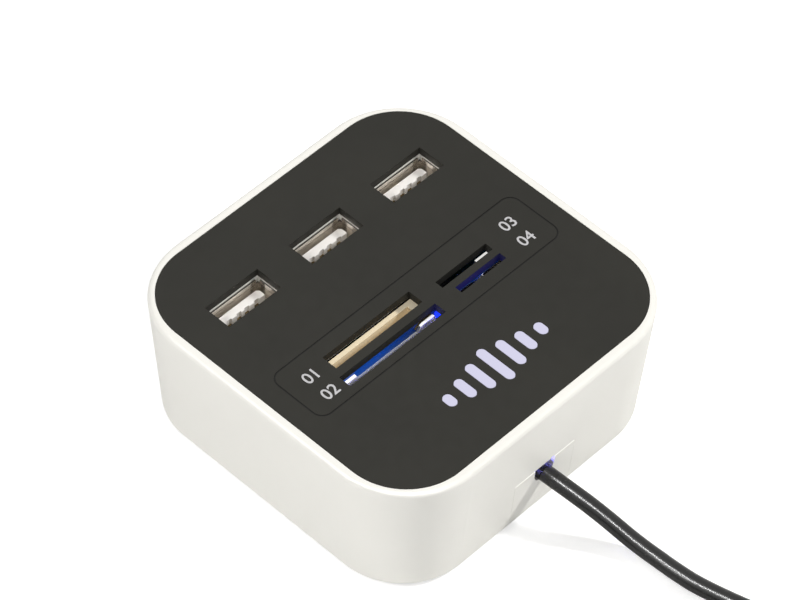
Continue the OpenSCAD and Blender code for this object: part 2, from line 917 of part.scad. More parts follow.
// Switch spring that a card pushes aside: a thin strip over the ramp
switch_t = 0.18;
switch_w = 0.35;
switch_l = 3;
switch_rise = 1;
switch_run = 1.2;
switch_gap = 0.4;
module switch_spring() {
    foot_x = full_right - ramp_top_l - ramp_shoulder_l - ramp_foot_l;
    low_z = full_high_top - ramp_shoulder_drop + switch_gap - switch_rise / 2;
    line = [
        [foot_x, low_z],
        [foot_x + switch_run, low_z + switch_rise],
        [foot_x + switch_run + switch_l, low_z + switch_rise]
    ];
    translate([0, card_front_y, 0])
        rotate([90, 0, 0])
            linear_extrude(switch_w)
                polygon(concat(line, [for (i = [2:-1:0]) line[i] + [0, switch_t]]));
}

module full_card_contacts() {
    card_contacts(full_at, card_front_y - full_back, -1, 9, full_contact_pitch, full_contact_l);
    color("#c9cacc")
        switch_spring();
}

small_back = 0.35;
small_front = 0.75;
small_rail = 0.9;
small_low_drop = 6.5;
small_low_top = top_z - small_low_drop;
small_contact_l = 5;
small_contact_pitch = 1.1;
small_block_x = 17.4;
small_block_l = 3.1;
small_pocket_y = card_board_y + small_back;
module small_card_socket() {
    small_rear = small_pocket_y + small_card_t + 2 * card_play;
    color("#f2f1ec")
        difference() {
            union() {
                translate([small_at[0] - small_card_w / 2 - card_play - small_rail, card_board_y, board_top_z])
                    cube([
                        small_card_w + 2 * card_play + 2 * small_rail,
                        small_rear + small_front - card_board_y,
                        small_low_top - board_top_z
                    ]);
                // Raised block beside the mouth
                translate([small_block_x, small_rear, board_top_z])
                    cube([small_block_l, small_front, stick_top - board_top_z]);
            }
            pocket(small_at, small_card_w, small_pocket_y, small_card_t);
        }
}

module small_card_contacts() {
    card_contacts(small_at, small_pocket_y, 1, 11, small_contact_pitch, small_contact_l);
}

micro_back = 0.5;
micro_shell_t = 0.2;
micro_rail = 0.8;
micro_notch_x = 14.2;
micro_notch_r = 2.5;
micro_notch_depth = 0.7;
micro_drop = 2.5;
micro_low_drop = 4.6;
micro_contact_l = 5;
micro_contact_pitch = 1.1;
micro_top = top_z - micro_drop;
micro_low_top = top_z - micro_low_drop;
micro_pocket_front = card_front_y - micro_back - micro_card_t - 2 * card_play;
micro_left = micro_at[0] - micro_card_w / 2 - card_play;
micro_right = micro_at[0] + micro_card_w / 2 + card_play;
module micro_card_socket() {
    color("#26262a")
        difference() {
            translate([micro_left - micro_rail, micro_pocket_front, board_top_z])
                cube([
                    micro_right - micro_left + 2 * micro_rail,
                    card_front_y - micro_shell_t - micro_pocket_front,
                    micro_low_top - board_top_z
                ]);
            translate([micro_left, micro_pocket_front - e, pocket_z])
                cube([micro_right - micro_left, micro_card_t + 2 * card_play + e, top_z]);
        }
}

module micro_card_shell() {
    color("#b8b6b0")
        difference() {
            translate([micro_left - micro_rail - micro_shell_t, micro_pocket_front - micro_shell_t, board_top_z])
                cube([
                    micro_right - micro_left + 2 * micro_rail + 2 * micro_shell_t,
                    card_front_y - micro_pocket_front + micro_shell_t,
                    micro_top - board_top_z
                ]);
            translate([micro_left - micro_rail, micro_pocket_front, board_top_z - e])
                cube([
                    micro_right - micro_left + 2 * micro_rail,
                    card_front_y - micro_shell_t - micro_pocket_front,
                    top_z
                ]);
            // The mouth's curved relief, through both broad sheets
            translate([micro_notch_x, card_front_y, micro_top + micro_notch_r - micro_notch_depth])
                rotate([90, 0, 0])
                    cylinder(h = 4 * over, r = micro_notch_r, center = true);
        }
}

module micro_card_contacts() {
    card_contacts(micro_at, card_front_y - micro_back, -1, 8, micro_contact_pitch, micro_contact_l);
}

// The cable inside the housing, with the moulded stop behind the wall
stub_out = 0.35;
stub_y = -half_at(cable_z) - stub_out;
jacket_inside = 4;
jacket_end = rib_y + rib_t + jacket_inside;
module cable_stop() {
    color("#222224") {
        translate([0, stub_y, cable_z])
            rotate([-90, 0, 0])
                cylinder(h = jacket_end - stub_y, d = cable_d);
        translate([-stop_w / 2, stop_y, cable_z - stop_h / 2])
            cube([stop_w, stop_l, stop_h - stop_flat]);
    }
}

wire_d = 0.8;
wire_pitch = 0.85;
wire_bend = 1.4;
wire_run = 3;
module cable_wires() {
    for (i = [0:3])
        color(["#c8322c", "#e8e8e8", "#2c8a3c", "#222222"][i])
            translate([(i - 1.5) * wire_pitch, jacket_end, cable_z]) {
                rotate([-90, 0, 0])
                    cylinder(h = wire_run, d = wire_d);
                translate([0, wire_run, wire_bend])
                    rotate([0, -90, 0])
                        rotate([0, 0, 90])
                            rotate_extrude(angle = 90)
                                translate([wire_bend, 0]) circle(d = wire_d);
                translate([0, wire_run + wire_bend, wire_bend])
                    cylinder(h = board_z - cable_z - wire_bend, d = wire_d);
            }
}

// Free cable from the wall to the coil, chosen by hand: place along X, distance from
// the stub's end, and height as a share of the drop to the table
path = [
    [0, 0, 1],
    [0.2, 2.77, 0.977],
    [0.8, 6.17, 0.884],
    [1.6, 9.07, 0.744],
    [2.6, 11.97, 0.547],
    [3.5, 14.77, 0.349],
    [4.3, 17.77, 0.163],
    [4.9, 20.97, 0.047],
    [5.2, 24.17, 0.012],
    [5.4, 27.47, 0],
    [5.8, 31.97, 0],
    [6.7, 36.47, 0],
    [8, 41.47, 0],
    [9.3, 45.97, 0],
    [10.1, 50.97, 0]
];
route = [for (p = path) [p[0], stub_y - p[1], cable_r + p[2] * (cable_z - cable_r)]];
tube_sides = 8;
last = len(route) - 1;
function unit(v) = v / norm(v);
function along(i) =
    i == 0 || i == last ? [0, -1, 0] : unit(route[i + 1] - route[i - 1]);
function side(t) = unit(cross(t, [0, 0, 1]));
function ring(i) =
    let (t = along(i), s = side(t), u = cross(s, t))
    [for (k = [0:tube_sides - 1])
        let (a = 360 * (k + 0.5) / tube_sides)
        route[i] + cable_r * (cos(a) * s + sin(a) * u)];
function ring_faces(i) = [for (k = [0:tube_sides - 1])
    let (n = (k + 1) % tube_sides, a = i * tube_sides, b = a + tube_sides)
    [a + k, a + n, b + n, b + k]];
module cable_tube() {
    color("#1d1d1f")
        polyhedron(
            points = [for (i = [0:last], p = ring(i)) p],
            faces = concat(
                [[for (k = [tube_sides - 1:-1:0]) k]],
                [for (i = [0:last - 1], f = ring_faces(i)) f],
                [[for (k = [0:tube_sides - 1]) last * tube_sides + k]]
            ),
            convexity = 4
        );
}

// The put-away length: a round coil two turns wide and two high
turn_pitch = 3.5;
coil_outer_r = coil_d / 2 + turn_pitch / 2;
coil_entry_l = 14;
coil_exit_l = 13.2;
coil_at = [route[last][0] - coil_outer_r, route[last][1] - coil_entry_l];
coil_h = cable_d + turn_pitch;
module cable_coil() {
    color("#1d1d1f") {
        translate([coil_at[0], coil_at[1], 0])
            rotate_extrude($fn = 64)
                translate([coil_d / 2, coil_h / 2])
                    rounded(turn_pitch + cable_d, coil_h, cable_r);
        // The cable runs in on the floor and out from the upper turn
        translate([coil_at[0] + coil_outer_r, coil_at[1], cable_r])
            rotate([-90, 0, 0])
                cylinder(h = coil_entry_l, d = cable_d);
        translate([coil_at[0] - coil_outer_r, coil_at[1], plug_z])
            rotate([-90, 0, 0])
                cylinder(h = coil_exit_l, d = cable_d);
    }
}

plug_z = grip_t / 2;
plug_x = coil_at[0] - coil_outer_r;
plug_y = coil_at[1] + coil_exit_l;
neck_l = 7.5;
neck_d = 5.4;
neck_end_d = 4.2;
grip_round = 2.4;
finger_start = 4;
finger_pitch = 2.6;
finger_w = 1;
finger_depth = 0.3;
module plug_frame() {
    translate([plug_x, plug_y, plug_z])
        rotate([-90, 0, 0])
            children();
}

module plug_grip() {
    color("#1d1d1f")
        plug_frame() {
            difference() {
                union() {
                    cylinder(h = neck_l + e, d1 = neck_end_d, d2 = neck_d);
                    translate([0, 0, neck_l])
                        linear_extrude(grip_l)
                            rounded(grip_w, grip_t, grip_round);
                }
                // Finger grooves across both broad faces
                for (s = [-1, 1], k = [0:3])
                    translate([0, s * grip_t / 2, neck_l + finger_start + finger_pitch * k])
                        cube([grip_w - 2 * grip_round - finger_w, 2 * finger_depth, finger_w], center = true);
                translate([0, 0, neck_l + grip_l - plug_seat])
                    linear_extrude(plug_seat + over)
                        square([usb_plug_w, usb_plug_t], center = true);
            }
        }
}

usb_plug_w = 12;
usb_plug_t = 4.5;
plug_seat = 5;
plug_window_w = 2.4;
plug_window_x = 2.8;
plug_window_z = 6;
module plug_shell() {
    color("#c4c5c7")
        plug_frame()
            translate([0, 0, neck_l + grip_l - plug_seat])
                difference() {
                    linear_extrude(plug_seat + plug_shell_l)
                        difference() {
                            square([usb_plug_w, usb_plug_t], center = true);
                            square([usb_plug_w - 2 * plug_shell_t, usb_plug_t - 2 * plug_shell_t], center = true);
                        }
                    for (s = [-1, 1], x = [-plug_window_x, plug_window_x])
                        translate([x, s * usb_plug_t / 2, plug_seat + plug_window_z])
                            cube([plug_window_w, 4 * plug_shell_t, plug_window_w], center = true);
                }
}

plug_tongue_t = 1.95;
plug_tongue_drop = 0.3;
plug_contact_start = 1;
plug_contact_drop = 1.6;
plug_contact_sink = 0.05;
module plug_tongue() {
    color("#f0efec")
        plug_frame()
            translate([
                -usb_plug_w / 2 + plug_shell_t,
                -usb_plug_t / 2 + plug_shell_t,
                neck_l + grip_l - plug_seat
            ])
                difference() {
                    cube([
                        usb_plug_w - 2 * plug_shell_t,
                        plug_tongue_t,
                        plug_seat + plug_shell_l - plug_tongue_drop
                    ]);
                    for (x = usb_contact_x)
                        translate([
                            usb_plug_w / 2 - plug_shell_t + x - usb_pin_w / 2 - groove_gap,
                            plug_tongue_t - usb_contact_t,
                            plug_seat + plug_contact_start
                        ])
                            cube([usb_pin_w + 2 * groove_gap, 2 * usb_contact_t, plug_shell_l]);
                }
}

module plug_contacts() {
    color("#d0b878")
        plug_frame()
            for (x = usb_contact_x)
                translate([
                    x - usb_pin_w / 2,
                    -usb_plug_t / 2 + plug_shell_t + plug_tongue_t - usb_contact_t,
                    neck_l + grip_l + plug_contact_start
                ])
                    cube([
                        usb_pin_w,
                        usb_contact_t - plug_contact_sink,
                        plug_shell_l - plug_contact_start - plug_contact_drop
                    ]);
}

housing();
top_plate();
light_guide();
bottom_cover();
foot(0);  // foot_1
foot(1);  // foot_2
foot(2);  // foot_3
foot(3);  // foot_4
cover_screw(0);  // cover_screw_1
cover_screw(1);  // cover_screw_2
cover_screw(2);  // cover_screw_3
cover_screw(3);  // cover_screw_4
main_board();
board_screw(0);  // board_screw_1
board_screw(1);  // board_screw_2
board_screw(2);  // board_screw_3
board_screw(3);  // board_screw_4
hub_chip();
reader_chip();
clock_crystal();
capacitor(-1);  // capacitor_1
capacitor(1);  // capacitor_2
window_led(-1);  // window_led_1
window_led(1);  // window_led_2
card_led();
card_board();
board_header();
translate([usb_x[0], usb_y]) usb_shell();  // usb_shell_1
translate([usb_x[1], usb_y]) usb_shell();  // usb_shell_2
translate([usb_x[2], usb_y]) usb_shell();  // usb_shell_3
translate([usb_x[0], usb_y]) usb_tongue();  // usb_tongue_1
translate([usb_x[1], usb_y]) usb_tongue();  // usb_tongue_2
translate([usb_x[2], usb_y]) usb_tongue();  // usb_tongue_3
translate([usb_x[0], usb_y]) usb_contacts();  // usb_contacts_1
translate([usb_x[1], usb_y]) usb_contacts();  // usb_contacts_2
translate([usb_x[2], usb_y]) usb_contacts();  // usb_contacts_3
stick_card_socket();
stick_card_contacts();
full_card_socket();
full_card_shell();
full_card_contacts();
small_card_socket();
small_card_contacts();
micro_card_socket();
micro_card_shell();
micro_card_contacts();
cable_stop();
cable_wires();
cable_tube();
cable_coil();
plug_grip();
plug_shell();
plug_tongue();
plug_contacts();
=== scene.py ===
import json
import math

import bmesh
import bpy
from mathutils import Matrix, Vector


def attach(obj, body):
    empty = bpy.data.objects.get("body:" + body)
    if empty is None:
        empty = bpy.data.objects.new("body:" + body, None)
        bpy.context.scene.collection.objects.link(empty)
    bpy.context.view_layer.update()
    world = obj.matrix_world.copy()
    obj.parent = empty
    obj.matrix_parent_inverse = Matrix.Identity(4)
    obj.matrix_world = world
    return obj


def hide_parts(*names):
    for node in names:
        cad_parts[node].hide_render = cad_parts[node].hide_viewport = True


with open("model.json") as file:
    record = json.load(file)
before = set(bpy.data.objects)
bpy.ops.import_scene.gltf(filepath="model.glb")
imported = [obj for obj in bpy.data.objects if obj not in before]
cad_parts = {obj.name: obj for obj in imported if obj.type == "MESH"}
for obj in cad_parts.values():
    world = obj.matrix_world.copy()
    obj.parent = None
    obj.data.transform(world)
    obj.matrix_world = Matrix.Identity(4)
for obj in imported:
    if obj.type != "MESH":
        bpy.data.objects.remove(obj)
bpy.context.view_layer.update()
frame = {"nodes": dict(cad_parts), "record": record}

# Sizes are written in millimetres and turned into Blender's metres with MM
MM = 0.001
WHITE = (1, 1, 1, 1)


def metres(point):
    return Vector(point) * MM


def smooth(t):
    """S-curve of two parabolas from 0 to 1."""
    t = max(0.0, min(1.0, t))
    return 2 * t * t if t < 0.5 else 1 - 2 * (1 - t) ** 2


def turned(x_axis, y_axis, z_axis):
    """Rotation that turns an object's own axes to three directions."""
    return Matrix((x_axis, y_axis, z_axis)).transposed().to_4x4()


def add_object(name, data):
    thing = bpy.data.objects.new(name, data)
    bpy.context.scene.collection.objects.link(thing)
    return thing


def add_mesh(name, bm):
    data = bpy.data.meshes.new(name)
    bm.to_mesh(data)
    bm.free()
    return add_object(name, data)


def dress(piece, mat):
    piece.data.materials.clear()
    piece.data.materials.append(mat)


# Camera, fitted to the photograph's 800 by 600 pixels
PHOTO_W = 800
SENSOR = 36.0
FOCAL_PX = 4474.3
AZIMUTH = math.radians(-47.323)
ELEVATION = math.radians(49.756)
ROLL = math.radians(2.015)
DISTANCE = 820.88
PAN = (-0.503, -1.187)
AIM_Z = 30
# Nearest and farthest places that the camera sees, in metres
NEAREST, FARTHEST = 0.05, 20


def make_camera():
    back = Vector((
        math.sin(AZIMUTH) * math.cos(ELEVATION),
        -math.cos(AZIMUTH) * math.cos(ELEVATION),
        math.sin(ELEVATION),
    ))
    level = (-back).cross(Vector((0, 0, 1))).normalized()
    upright = level.cross(-back)
    right = math.cos(ROLL) * level + math.sin(ROLL) * upright
    up = -math.sin(ROLL) * level + math.cos(ROLL) * upright
    data = bpy.data.cameras.new("camera")
    data.sensor_width = SENSOR
    data.lens = FOCAL_PX / PHOTO_W * SENSOR
    data.clip_start = NEAREST
    data.clip_end = FARTHEST
    camera = add_object("camera", data)
    place = right * PAN[0] + up * PAN[1] + back * DISTANCE + Vector((0, 0, AIM_Z))
    camera.matrix_world = Matrix.Translation(place * MM) @ turned(right, up, back)
    bpy.context.scene.camera = camera


# The cable: diameter, free route, coil and plug end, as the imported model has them
CABLE_D = 3.4
CABLE_R = CABLE_D / 2
CABLE_Z = 10.3
STUB_Y = -37.033
# Place along X, distance from the wall's stub, and height as a share of the drop to the table
PATH = [
    (0, 0, 1),
    (0.2, 2.77, 0.977),
    (0.8, 6.17, 0.884),
    (1.6, 9.07, 0.744),
    (2.6, 11.97, 0.547),
    (3.5, 14.77, 0.349),
    (4.3, 17.77, 0.163),
    (4.9, 20.97, 0.047),
    (5.2, 24.17, 0.012),
    (5.4, 27.47, 0),
    (5.8, 31.97, 0),
    (6.7, 36.47, 0),
    (8, 41.47, 0),
    (9.3, 45.97, 0),
    (10.1, 50.97, 0),
]
ROUTE = [(x, STUB_Y - far, CABLE_R + drop * (CABLE_Z - CABLE_R)) for x, far, drop in PATH]
TURN_PITCH = 3.5
COIL_OUTER_R = 22.15
COIL_INNER_R = COIL_OUTER_R - TURN_PITCH
# From the end of the route to the coil's middle
COIL_ENTRY = 14
COIL_AT = Vector((ROUTE[-1][0] - COIL_OUTER_R, ROUTE[-1][1] - COIL_ENTRY, 0))
COIL_TURNS = 3.5
# Degrees wound when the cable starts inward, starts up and starts outward again
MOVE_IN, MOVE_UP, MOVE_OUT = 295, 595, 895
MOVE_SPAN = 60
PLUG_X = COIL_AT.x - COIL_OUTER_R
PLUG_Z = 3.8
# From the coil to the plug's rear, of which the cable stays level for the first part
PLUG_RUN = 13.2
LEVEL_RUN = 6
# Steps of the curve between two points of the route, then to the coil, in each turn, and to the plug
ROUTE_STEPS = 10
LEAD_STEPS = 5
POINTS_A_TURN = 144
TAIL_STEPS = 16


def curve_through(points):
    """Catmull-Rom curve through the points."""
    pts = [Vector(p) for p in points]
    ends = [2 * pts[0] - pts[1]] + pts + [2 * pts[-1] - pts[-2]]
    out = []
    for a, b, c, d in zip(ends, ends[1:], ends[2:], ends[3:]):
        for i in range(ROUTE_STEPS):
            t = i / ROUTE_STEPS
            out.append(0.5 * (
                2 * b + (c - a) * t + (2 * a - 5 * b + 4 * c - d) * t ** 2
                + (3 * b - a - 3 * c + d) * t ** 3
            ))
    return out + [pts[-1]]


def lead_points():
    """Straight over the table from the end of the route to the coil."""
    x, y, z = ROUTE[-1]
    step = (COIL_AT.y - y) / LEAD_STEPS
    return [Vector((x, y + step * i, z)) for i in range(1, LEAD_STEPS)]


def coil_points():
    """The put-away turns: round outside, round inside, up, round inside and back out on top."""
    out = []
    for i in range(int(COIL_TURNS * POINTS_A_TURN) + 1):
        wound = 360 * i / POINTS_A_TURN
        inward = smooth((wound - MOVE_IN) / MOVE_SPAN) - smooth((wound - MOVE_OUT) / MOVE_SPAN)
        upward = smooth((wound - MOVE_UP) / MOVE_SPAN)
        radius = COIL_OUTER_R - TURN_PITCH * inward
        a = math.radians(-wound)
        out.append(COIL_AT + Vector((
            radius * math.cos(a), radius * math.sin(a), CABLE_R + TURN_PITCH * upward
        )))
    return out


def tail_points(top_z):
    """From the upper turn to the plug: level, then down."""
    out = []
    for i in range(1, TAIL_STEPS + 1):
        y = PLUG_RUN * i / TAIL_STEPS
        drop = smooth((y - LEVEL_RUN) / (PLUG_RUN - LEVEL_RUN))
        out.append(Vector((PLUG_X, COIL_AT.y + y, top_z + (PLUG_Z - top_z) * drop)))
    return out


def cable_points():
    coil = coil_points()
    return curve_through(ROUTE) + lead_points() + coil + tail_points(coil[-1].z)


def length_of(points):
    return sum((b - a).length for a, b in zip(points, points[1:]))


def make_cable():
    points = cable_points()
    data = bpy.data.curves.new("cable", "CURVE")
    data.dimensions = "3D"
    # The points' radius carries the size, so that the curve's bound box fits the tube
    data.bevel_depth = 1.0
    data.bevel_resolution = 8
    data.use_fill_caps = True
    spline = data.splines.new("POLY")
    spline.points.add(len(points) - 1)
    for spot, p in zip(spline.points, points):
        spot.co = (*metres(p), 1)
        spot.radius = CABLE_R * MM
    spline.use_smooth = True
    cable = add_object("cable", data)
    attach(cable, "root")
    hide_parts("cable_tube", "cable_coil")
    return cable, length_of(points)


# A flat strip tied round the coil, on the side away from the plug
TIE_ANGLE = math.radians(-45)
TIE_W = 3
TIE_T = 0.35
TIE_LIFT = 0.02
TIE_CORNER_STEPS = 6


def rounded_square(w, r):
    """Points of a square with round corners about the origin, counter-clockwise."""
    out = []
    for x, y, start in ((1, 1, 0), (-1, 1, 90), (-1, -1, 180), (1, -1, 270)):
        for i in range(TIE_CORNER_STEPS + 1):
            a = math.radians(start + 90 * i / TIE_CORNER_STEPS)
            out.append((x * (w / 2 - r) + r * math.cos(a), y * (w / 2 - r) + r * math.sin(a)))
    return out


def make_tie():
    turns_w = TURN_PITCH + CABLE_D
    inner = rounded_square(turns_w, CABLE_R)
    outer = rounded_square(turns_w + 2 * TIE_T, CABLE_R + TIE_T)
    outward = Vector((math.cos(TIE_ANGLE), math.sin(TIE_ANGLE), 0))
    across = Vector((-outward.y, outward.x, 0))
    middle_r = (COIL_OUTER_R + COIL_INNER_R) / 2
    middle = COIL_AT + outward * middle_r + Vector((0, 0, turns_w / 2))
    bm = bmesh.new()
    rings = []
    for loop, lowest in ((inner, TIE_LIFT + TIE_T), (outer, TIE_LIFT)):
        for side in (-TIE_W / 2, TIE_W / 2):
            ring = []
            for u, v in loop:
                p = middle + outward * u + across * side + Vector((0, 0, v))
                p.z = max(p.z, lowest)
                ring.append(bm.verts.new(metres(p)))
            rings.append(ring)
    inner_a, inner_b, outer_a, outer_b = rings
    for one, other in ((outer_a, outer_b), (inner_a, inner_b), (inner_a, outer_a), (inner_b, outer_b)):
        for i in range(len(one)):
            j = (i + 1) % len(one)
            bm.faces.new((one[i], one[j], other[j], other[i]))
    bmesh.ops.recalc_face_normals(bm, faces=bm.faces)
    tie = add_mesh("coil_tie", bm)
    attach(tie, "root")
    return tie


# Shader nodes
def feed(tree, socket, value):
    """Sets a socket to a plain value, or links it to another node's output."""
    if isinstance(value, bpy.types.NodeSocket):
        tree.links.new(value, socket)
    else:
        socket.default_value = value


def feed_by_name(tree, node, values):
    """Feeds sockets by their names, in which _ stands for a space."""
    for name, value in values.items():
        feed(tree, node.inputs[name.replace("_", " ")], value)


def add_node(tree, kind, *in_order, operation=None, **by_name):
    """Adds a node and feeds its sockets, the first ones in order and others by name."""
    node = tree.nodes.new(kind)
    if operation:
        node.operation = operation
    for socket, value in zip(node.inputs, in_order):
        feed(tree, socket, value)
    feed_by_name(tree, node, by_name)
    return node


def add_math(tree, operation, *values):
    return add_node(tree, "ShaderNodeMath", *values, operation=operation).outputs[0]


def place_in_object(tree):
    """The surface's place in its own object, in metres."""
    return add_node(tree, "ShaderNodeTexCoord").outputs["Object"]


def place_along(tree, axis):
    axes = add_node(tree, "ShaderNodeSeparateXYZ", Vector=place_in_object(tree))
    return axes.outputs[axis]


def height_mask(tree, low, high):
    """1 where the surface lies between two heights in millimetres, else 0."""
    middle = (low + high) / 2 * MM
    reach = (high - low) / 2 * MM
    return add_math(tree, "COMPARE", place_along(tree, "Z"), middle, reach)


def noise(mat, scale, detail, stretch=(1, 1, 1)):
    """Noise in object space, with scale in features per millimetre."""
    tree = mat.node_tree
    scales = [s * scale / MM for s in stretch]
    mapping = add_node(tree, "ShaderNodeMapping", Vector=place_in_object(tree), Scale=scales)
    texture = add_node(
        tree, "ShaderNodeTexNoise", Vector=mapping.outputs["Vector"], Scale=1.0, Detail=detail,
    )
    return texture.outputs["Fac"]


def seen_by(tree, rays):
    """1 for the named kinds of ray, else 0."""
    path = add_node(tree, "ShaderNodeLightPath")
    total = path.outputs[rays[0]]
    for name in rays[1:]:
        total = add_math(tree, "MAXIMUM", total, path.outputs[name])
    return total


# Finishes of a surface, and the light and shade painted on it
def shader_of(mat):
    return mat.node_tree.nodes["Principled BSDF"]


def set_shader(mat, **values):
    feed_by_name(mat.node_tree, shader_of(mat), values)


def principled(name, colour, roughness, metallic=0.0, specular=0.5):
    mat = bpy.data.materials.new(name)
    mat.use_nodes = True
    set_shader(mat, Base_Color=(*colour, 1), Roughness=roughness)
    set_shader(mat, Metallic=metallic, Specular_IOR_Level=specular)
    return mat


# The middle part of a noise's range, over which a look goes from one end to the other
NOISE_SPAN = (0.35, 0.65)


def between(mat, value, low, high):
    """A colour that goes from low to high with the value."""
    ramp = add_node(mat.node_tree, "ShaderNodeValToRGB", Fac=value)
    for element, at, colour in zip(ramp.color_ramp.elements, NOISE_SPAN, (low, high)):
        element.position = at
        element.color = (*colour, 1)
    return ramp.outputs["Color"]


def vary_colour(mat, value, colour, low, high):
    """Scales the colour between two factors."""
    ends = [[c * factor for c in colour] for factor in (low, high)]
    set_shader(mat, Base_Color=between(mat, value, *ends))


def vary_roughness(mat, value, low, high):
    set_shader(mat, Roughness=between(mat, value, (low, low, low), (high, high, high)))


def add_bump(mat, height, strength, distance):
    """Bump on the surface from a height output, with the distance in millimetres."""
    bump = add_node(
        mat.node_tree, "ShaderNodeBump", Height=height, Strength=strength, Distance=distance * MM,
    )
    set_shader(mat, Normal=bump.outputs["Normal"])


def plastic(name, colour, roughness, grain=6.0, grain_depth=0.01, variation=0.03, specular=0.5):
    """Moulded plastic: fine grain in the surface and a slight drift in its colour."""
    mat = principled(name, colour, roughness, specular=specular)
    drift = noise(mat, scale=0.05, detail=2)
    vary_colour(mat, drift, colour, low=1 - variation, high=1 + variation)
    vary_roughness(mat, noise(mat, scale=0.4, detail=3), roughness * 0.92, roughness * 1.08)
    add_bump(mat, noise(mat, scale=grain, detail=4), strength=0.5, distance=grain_depth)
    return mat


def metal(name, colour, roughness, brush=(1, 1, 12)):
    """Plated sheet metal with fine lines along one axis."""
    mat = principled(name, colour, roughness, metallic=1.0)
    vary_colour(mat, noise(mat, scale=0.15, detail=3), colour, low=0.86, high=1.06)
    lines = noise(mat, scale=2, detail=3, stretch=brush)
    vary_roughness(mat, lines, roughness * 0.8, roughness * 1.25)
    fine_lines = noise(mat, scale=2, detail=4, stretch=brush)
    add_bump(mat, fine_lines, strength=0.4, distance=0.004)
    return mat


def shine(mat, colour, strength):
    set_shader(mat, Emission_Color=(*colour, 1), Emission_Strength=strength)


def no_lamp(mat):
    """Keeps a shining surface out of the lamps that the renderer samples, for less grain."""
    mat.cycles.emission_sampling = "NONE"


def glowing(name, colour, glow, strength):
    mat = plastic(name, colour, 0.35)
    shine(mat, glow, strength)
    return mat


def light_from_one_end(mat, bright_x, dark_x, colour, strength):
    """Lets the surface shine up to bright_x and fade to a tenth by dark_x, in millimetres."""
    tree = mat.node_tree
    fade = add_node(
        tree, "ShaderNodeMapRange", Value=place_along(tree, "X"),
        From_Min=bright_x * MM, From_Max=dark_x * MM, To_Min=strength, To_Max=strength / 10,
    )
    shine(mat, colour, fade.outputs["Result"])
    no_lamp(mat)


def light_between(mat, low, high, colour, strength, rest=0.0):
    """Lets the surface between two heights shine, and all of it a little where rest is given."""
    mask = height_mask(mat.node_tree, low, high)
    shine(mat, colour, add_math(mat.node_tree, "MULTIPLY_ADD", mask, strength, rest))
    no_lamp(mat)


def light_near(mat, at, reach, below, colour, strength):
    """Lets the surface under a height shine round a place, fading out at its reach."""
    tree = mat.node_tree
    near = tree.nodes.new("ShaderNodeMapping")
    near.vector_type = "TEXTURE"
    feed_by_name(tree, near, {
        "Vector": place_in_object(tree), "Location": metres(at), "Scale": metres(reach),
    })
    far = add_node(tree, "ShaderNodeVectorMath", near.outputs["Vector"], operation="LENGTH")
    fade = add_node(
        tree, "ShaderNodeMapRange", Value=far.outputs["Value"], To_Min=strength, To_Max=0.0,
    )
    mask = height_mask(tree, 0, below)
    shine(mat, colour, add_math(tree, "MULTIPLY", fade.outputs["Result"], mask))
    no_lamp(mat)


def painted_shade_between(mat, low, high, factor):
    """Painted shade: scales the base colour between two heights in millimetres."""
    tree = mat.node_tree
    colour = shader_of(mat).inputs["Base Color"].links[0].from_socket
    amount = add_math(tree, "MULTIPLY_ADD", height_mask(tree, low, high), factor - 1, 1)
    shaded = add_node(tree, "ShaderNodeVectorMath", colour, operation="SCALE", Scale=amount)
    set_shader(mat, Base_Color=shaded.outputs[0])


# A face at one height is picked out with this sliver above and below it
SLIVER = 0.05
PLATE_TOP = 30.0
# Floor of the frame line in the plate, and of the notches in the USB shells' mouths, both darkened
# with painted shade
LINE_FLOOR = 29.9
NOTCH_FLOOR = 27.0
# Tops of the rear and front card sockets, where painted light stands for the light that the slots let
# reach them
REAR_TOP = 26.6
FRONT_TOP = 27.0
# Upper edge of the cover's tab, with a little more than its chamfer: the band that shines as a painted
# highlight
TAB_TOP = 13.0
TAB_EDGE = 0.3
# Along X, the card board shines blue with painted light up to the first place and has faded at the
# second
BOARD_LIT, BOARD_DARK = -13, -2
# Painted blue light on the walls of the front slots, for the blue LED's light: its middle, reach, and
# upper end under the plate's top
SLOT_GLOW_AT = (11, -6.5, 28.5)
SLOT_GLOW_REACH = (14, 3.0, 5.0)
SLOT_GLOW_BELOW = 0.03
HOUSING_COLOUR = (0.86, 0.85, 0.803)
WINDOW_LIGHT = (0.70, 0.68, 0.88)


def housing_plastic(name):
    return plastic(name, HOUSING_COLOUR, 0.42, grain=3, grain_depth=0.006, variation=0.006)


def cover_plastic():
    mat = housing_plastic("cover_plastic")
    # Painted highlight: the band along the tab's upper edge shines, for the light that its edge
    # catches
    light_between(mat, TAB_TOP - TAB_EDGE, TAB_TOP, colour=(1.0, 0.995, 0.97), strength=0.25)
    return mat


def plate_plastic():
    mat = plastic(
        "plate_plastic", (0.0155, 0.0148, 0.0112), 0.55,
        grain=5, grain_depth=0.02, variation=0.08, specular=0.2,
    )
    # Painted shade darkens the floor of the frame line
    painted_shade_between(mat, LINE_FLOOR - SLIVER, LINE_FLOOR + SLIVER, factor=0.3)
    # Painted light: the plate's walls in the front slots shine blue
    light_near(
        mat, SLOT_GLOW_AT, SLOT_GLOW_REACH, PLATE_TOP - SLOT_GLOW_BELOW,
        colour=(0.012, 0.012, 0.5), strength=0.18,
    )
    return mat


def board(name, colour, roughness, specular=0.5):
    """Lacquered circuit board."""
    return plastic(
        name, colour, roughness, grain=1.5, grain_depth=0.02, variation=0.15, specular=specular,
    )


def card_board():
    mat = board("card_board", (0.002, 0.03, 0.12), 0.4, specular=0.2)
    # Painted light: the board shines blue, standing in for the blue LED's light on it
    light_from_one_end(mat, BOARD_LIT, BOARD_DARK, colour=(0.001, 0.05, 0.3), strength=0.65)
    return mat


def socket_steel():
    mat = metal("socket_steel", (0.62, 0.58, 0.52), 0.22)
    # Painted shade darkens the floors of the notches in the USB shells' mouths
    painted_shade_between(mat, NOTCH_FLOOR - SLIVER, NOTCH_FLOOR + SLIVER, factor=0.2)
    return mat


